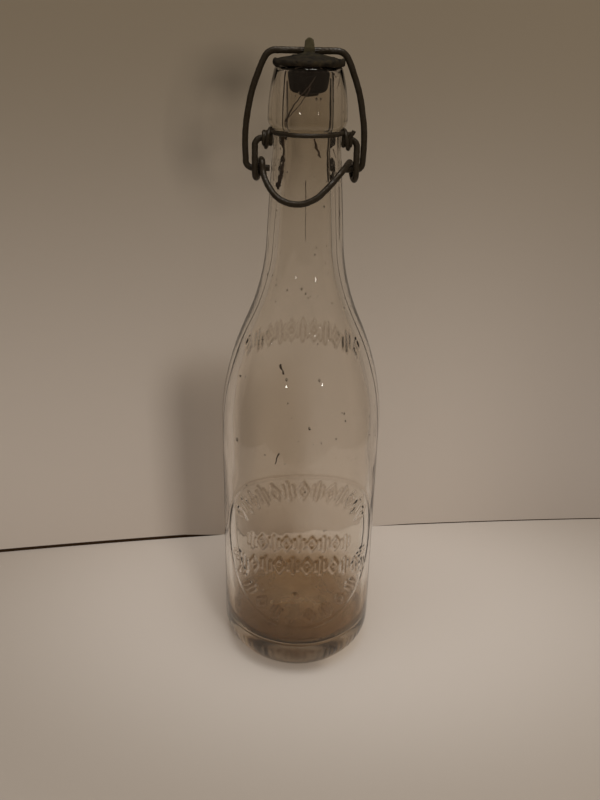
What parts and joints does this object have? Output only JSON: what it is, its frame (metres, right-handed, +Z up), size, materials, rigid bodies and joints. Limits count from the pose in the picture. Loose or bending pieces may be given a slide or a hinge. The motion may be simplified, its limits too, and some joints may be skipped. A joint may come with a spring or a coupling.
{
  "type": "blob top bottle",
  "caption": "Clear glass blob top bottle with a wire swing stopper: a cast cap with a rubber plug, a bail and a thumb lever hinged on a neck wire.",
  "frame": {"origin": "centre of the base ring on the surface the bottle stands on", "axes": "+Z up along the bottle's axis, -Y towards the front with the thumb lever, X along the lever's pins"},
  "size_m": [0.0626, 0.0626, 0.2438],
  "materials": {
    "clear_glass": "clear, slightly grey, with small seeds",
    "aged_wire": "dark oxidised",
    "cast_cap": "weathered grey-green",
    "black_rubber": "old, matt"
  },
  "bodies": {
    "glass": {"bottle": "clear_glass", "neck_wire": "aged_wire"},
    "lever": {"lever": "aged_wire"},
    "bail": {"bail": "aged_wire"},
    "stopper": {"stopper_cap": "cast_cap", "rubber_plug": "black_rubber"}
  },
  "joints": [
    {"name": "lever_swing", "type": "hinge", "parent": "glass", "child": "lever", "pos_m": [0, -0.0006, 0.2121], "axis": [-1, 0, 0], "range_deg": [0, 95]},
    {"name": "bail_swing", "type": "hinge", "parent": "lever", "child": "bail", "pos_m": [0, 0, 0.202], "axis": [-1, 0, 0], "range_deg": [-75, 0]},
    {"name": "stopper_tilt", "type": "hinge", "parent": "bail", "child": "stopper", "pos_m": [0, 0, 0.2398], "axis": [-1, 0, 0], "range_deg": [-22.5, 0]}
  ],
  "couplings": [
    {"joint": "bail_swing", "follows": "lever_swing", "ratio": -0.78},
    {"joint": "stopper_tilt", "follows": "lever_swing", "ratio": -0.23}
  ]
}
